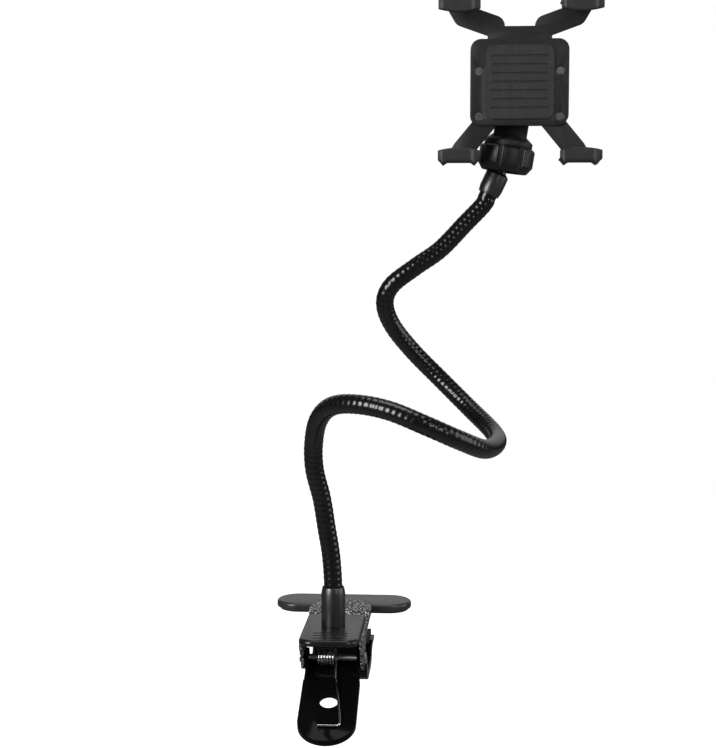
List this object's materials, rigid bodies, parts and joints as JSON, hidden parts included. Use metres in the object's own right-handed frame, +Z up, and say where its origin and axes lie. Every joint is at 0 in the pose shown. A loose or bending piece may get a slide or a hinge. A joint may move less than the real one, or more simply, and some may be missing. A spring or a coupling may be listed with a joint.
{
  "type": "phone holder",
  "caption": "Bendable-arm phone holder: a sprung table clamp, a ribbed metal hose and a ball-jointed cradle whose rubber claws grip a phone by its long edges.",
  "frame": {"origin": "middle of the grip face under the cross bar, where it lies on the table top", "axes": "+X right along the cross bar, +Y back over the table, +Z up; the cradle faces -Y"},
  "size_m": [0.1582, 0.1279, 0.3366],
  "materials": {
    "satin_paint": "satin",
    "wrinkle_paint": "pebbled",
    "gloss_paint": "gloss",
    "lever_paint": "high gloss",
    "rubber": "matte",
    "boot_rubber": "satin",
    "steel": "zinc plated",
    "spring_steel": "bright",
    "ferrule_black": "satin",
    "hose_cover": "semi-gloss, ribbed",
    "housing_plastic": "fine texture",
    "nut_plastic": "matte",
    "nylon": "smooth"
  },
  "bodies": {
    "clamp": {"wing_bar": "satin_paint", "bar_sole": "rubber", "clamp_frame": "wrinkle_paint", "thumb_plate": "gloss_paint", "pivot_pin": "steel", "torsion_spring": "spring_steel", "base_ferrule": "ferrule_black", "ferrule_screw": "steel", "hose_riser": "hose_cover", "hose_lower_bend": "hose_cover"},
    "lever": {"lower_lever": "lever_paint", "jaw_pad": "rubber"},
    "front_run": {"hose_front_run": "hose_cover", "hose_right_bend": "hose_cover"},
    "cross_run": {"hose_cross_run": "hose_cover", "hose_upper_bend": "hose_cover"},
    "top_run": {"hose_top_run": "hose_cover", "top_ferrule": "ferrule_black", "ball_stud": "steel"},
    "cup": {"ball_cup": "nylon"},
    "arm": {"swivel_arm": "housing_plastic", "friction_washer": "steel"},
    "nut": {"lock_nut": "nut_plastic"},
    "cradle": {"rear_housing": "housing_plastic", "front_cover": "housing_plastic", "cover_screws": "steel", "phone_cushion": "rubber", "swivel_screw": "steel", "yoke_springs": "spring_steel", "lower_left_boot": "boot_rubber", "lower_right_boot": "boot_rubber"},
    "yoke": {"upper_yoke": "housing_plastic", "upper_left_boot": "boot_rubber", "upper_right_boot": "boot_rubber"}
  },
  "joints": [
    {"name": "clamp_open", "type": "hinge", "parent": "clamp", "child": "lever", "pos_m": [0, -0.066, -0.007], "axis": [1, 0, 0], "range_deg": [-38, 9.8], "stiffness_Nm_per_rad": 1.2, "deforming": ["torsion_spring"]},
    {"name": "hose_lower_bend_flex", "type": "hinge", "parent": "clamp", "child": "front_run", "pos_m": [-0.005, -0.083, 0.1075], "axis": [0.6684, 0.6851, 0.2896], "range_deg": [-25, 25], "deforming": ["hose_lower_bend"]},
    {"name": "hose_right_bend_flex", "type": "hinge", "parent": "front_run", "child": "cross_run", "pos_m": [0.076, -0.065, 0.0955], "axis": [0.3967, -0.0769, 0.9147], "range_deg": [-30, 10], "deforming": ["hose_right_bend"]},
    {"name": "hose_upper_bend_flex", "type": "hinge", "parent": "cross_run", "child": "top_run", "pos_m": [0.022, -0.024, 0.158], "axis": [-0.2639, 0.8796, 0.3958], "range_deg": [-25, 25], "deforming": ["hose_upper_bend"]},
    {"name": "head_turn", "type": "hinge", "parent": "top_run", "child": "cup", "pos_m": [0.0806, -0.022, 0.2296], "axis": [0.4226, 0, 0.9063], "continuous": true},
    {"name": "head_tilt", "type": "hinge", "parent": "cup", "child": "arm", "pos_m": [0.0806, -0.022, 0.2296], "axis": [1, 0, 0], "range_deg": [-12, 12]},
    {"name": "nut_turn", "type": "hinge", "parent": "arm", "child": "nut", "pos_m": [0.0806, -0.022, 0.2296], "axis": [0.1564, 0, 0.9877], "continuous": true},
    {"name": "cradle_turn", "type": "hinge", "parent": "arm", "child": "cradle", "pos_m": [0.08581, -0.03, 0.26249], "axis": [0, 1, 0], "continuous": true},
    {"name": "yoke_slide", "type": "slide", "parent": "cradle", "child": "yoke", "axis": [0, 0, 1], "range_m": [-0.01, 0.012], "stiffness_N_per_m": 300, "deforming": ["yoke_springs"]}
  ]
}
